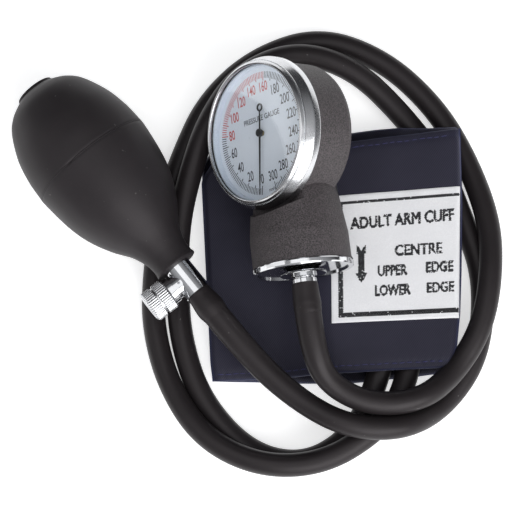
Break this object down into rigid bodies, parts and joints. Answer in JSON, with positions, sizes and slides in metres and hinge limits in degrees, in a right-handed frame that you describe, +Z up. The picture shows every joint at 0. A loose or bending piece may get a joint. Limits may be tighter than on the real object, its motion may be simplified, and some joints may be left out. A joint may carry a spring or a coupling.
{
  "type": "upper arm blood pressure monitor",
  "caption": "Aneroid arm blood pressure set: dial gauge, squeeze bulb with screw release valve, folded fabric cuff and two rubber hoses, laid flat.",
  "frame": {"origin": "middle of the folded cuff's underside, on the table", "axes": "+Z up from the table, +Y towards the cuff's edge beside which the gauge stands, the bulb lies towards -X"},
  "size_m": [0.209, 0.1964, 0.0745],
  "materials": {
    "bulb_rubber": "matte moulded rubber",
    "hose_rubber": "satin extruded rubber",
    "seal_rubber": "matte",
    "bladder_rubber": "matte",
    "black_plastic": "satin",
    "white_plastic": "satin",
    "dial_face": "satin printed",
    "pointer_black": "satin",
    "crackle_paint": "fine wrinkle paint",
    "chrome": "polished",
    "steel": "turned",
    "brass": "turned",
    "glass": "clear flat lens",
    "cuff_nylon": "close twill weave",
    "tape_nylon": "hook and loop pile",
    "label_satin": "woven satin"
  },
  "bodies": {
    "kit": {"bulb": "bulb_rubber", "bulb_hose": "hose_rubber", "gauge_hose": "hose_rubber", "bulb_hose_end": "hose_rubber", "gauge_hose_end": "hose_rubber", "end_valve_housing": "black_plastic", "end_valve_retainer": "black_plastic", "release_valve_body": "chrome", "release_valve_gland": "chrome", "release_valve_o_ring": "seal_rubber", "outlet_valve_seat": "brass", "gauge_case": "crackle_paint", "bezel": "chrome", "lens": "glass", "lens_gasket": "seal_rubber", "dial_spacer": "white_plastic", "dial": "dial_face", "base_ring": "chrome", "base_plate": "chrome", "base_washer": "chrome", "hose_nipple": "chrome", "inlet_filter": "brass", "nipple_nut": "brass", "case_clip": "chrome", "clip_screws": "chrome", "movement_front_plate": "brass", "movement_back_plate": "brass", "movement_pillars": "brass", "movement_screws": "steel", "dial_screws": "dial_face", "hairspring": "steel", "capsule_upper": "steel", "capsule_lower": "steel", "pin_guide": "brass", "capsule_stud": "brass", "cuff_lower_folds": "cuff_nylon", "cuff_top_panel": "cuff_nylon", "cuff_label": "label_satin", "hook_tape": "tape_nylon", "loop_tape": "tape_nylon", "bladder_necks": "hose_rubber", "bladder": "bladder_rubber"},
    "end_ball": {"end_valve_ball": "steel"},
    "outlet_flap": {"outlet_valve_flap": "seal_rubber"},
    "needle": {"needle_pad": "seal_rubber"},
    "knob": {"release_knob": "chrome", "release_screw": "steel"},
    "sector": {"sector_gear": "brass", "sector_arbor": "steel"},
    "pointer": {"pointer": "pointer_black", "pointer_bush": "brass", "pinion_arbor": "brass"},
    "push_pin": {"push_pin": "steel", "capsule_crown": "steel"}
  },
  "joints": [
    {"name": "end_ball_lift", "type": "slide", "parent": "kit", "child": "end_ball", "axis": [0.6251, -0.7803, 0.0175], "range_m": [0, 0.0009]},
    {"name": "outlet_flap_lift", "type": "slide", "parent": "kit", "child": "outlet_flap", "axis": [0.6251, -0.7803, 0.0175], "range_m": [0, 0.0012]},
    {"name": "needle_lift", "type": "slide", "parent": "kit", "child": "needle", "axis": [-0.7804, -0.6252, 0], "range_m": [0, 0.0015]},
    {"name": "knob_turn", "type": "hinge", "parent": "needle", "child": "knob", "pos_m": [-0.06933, -0.02181, 0.02833], "axis": [-0.7804, -0.6252, 0], "range_deg": [0, 720]},
    {"name": "sector_rock", "type": "hinge", "parent": "kit", "child": "sector", "pos_m": [-0.02231, 0.02513, 0.04134], "axis": [-0.753, -0.0885, 0.6521], "range_deg": [0, 37.78], "stiffness_Nm_per_rad": 0.0004},
    {"name": "pointer_turn", "type": "hinge", "parent": "kit", "child": "pointer", "pos_m": [-0.0295, 0.0423, 0.0484], "axis": [0.753, 0.0885, -0.6521], "range_deg": [0, 340]},
    {"name": "push_pin_lift", "type": "slide", "parent": "kit", "child": "push_pin", "axis": [-0.1167, 0.9932, 0], "range_m": [0, 0.0014]}
  ],
  "couplings": [
    {"joint": "needle_lift", "follows": "knob_turn", "m_per_rad": 0.00011937},
    {"joint": "pointer_turn", "follows": "sector_rock", "ratio": 9},
    {"joint": "push_pin_lift", "follows": "sector_rock", "m_per_rad": 0.001964}
  ]
}
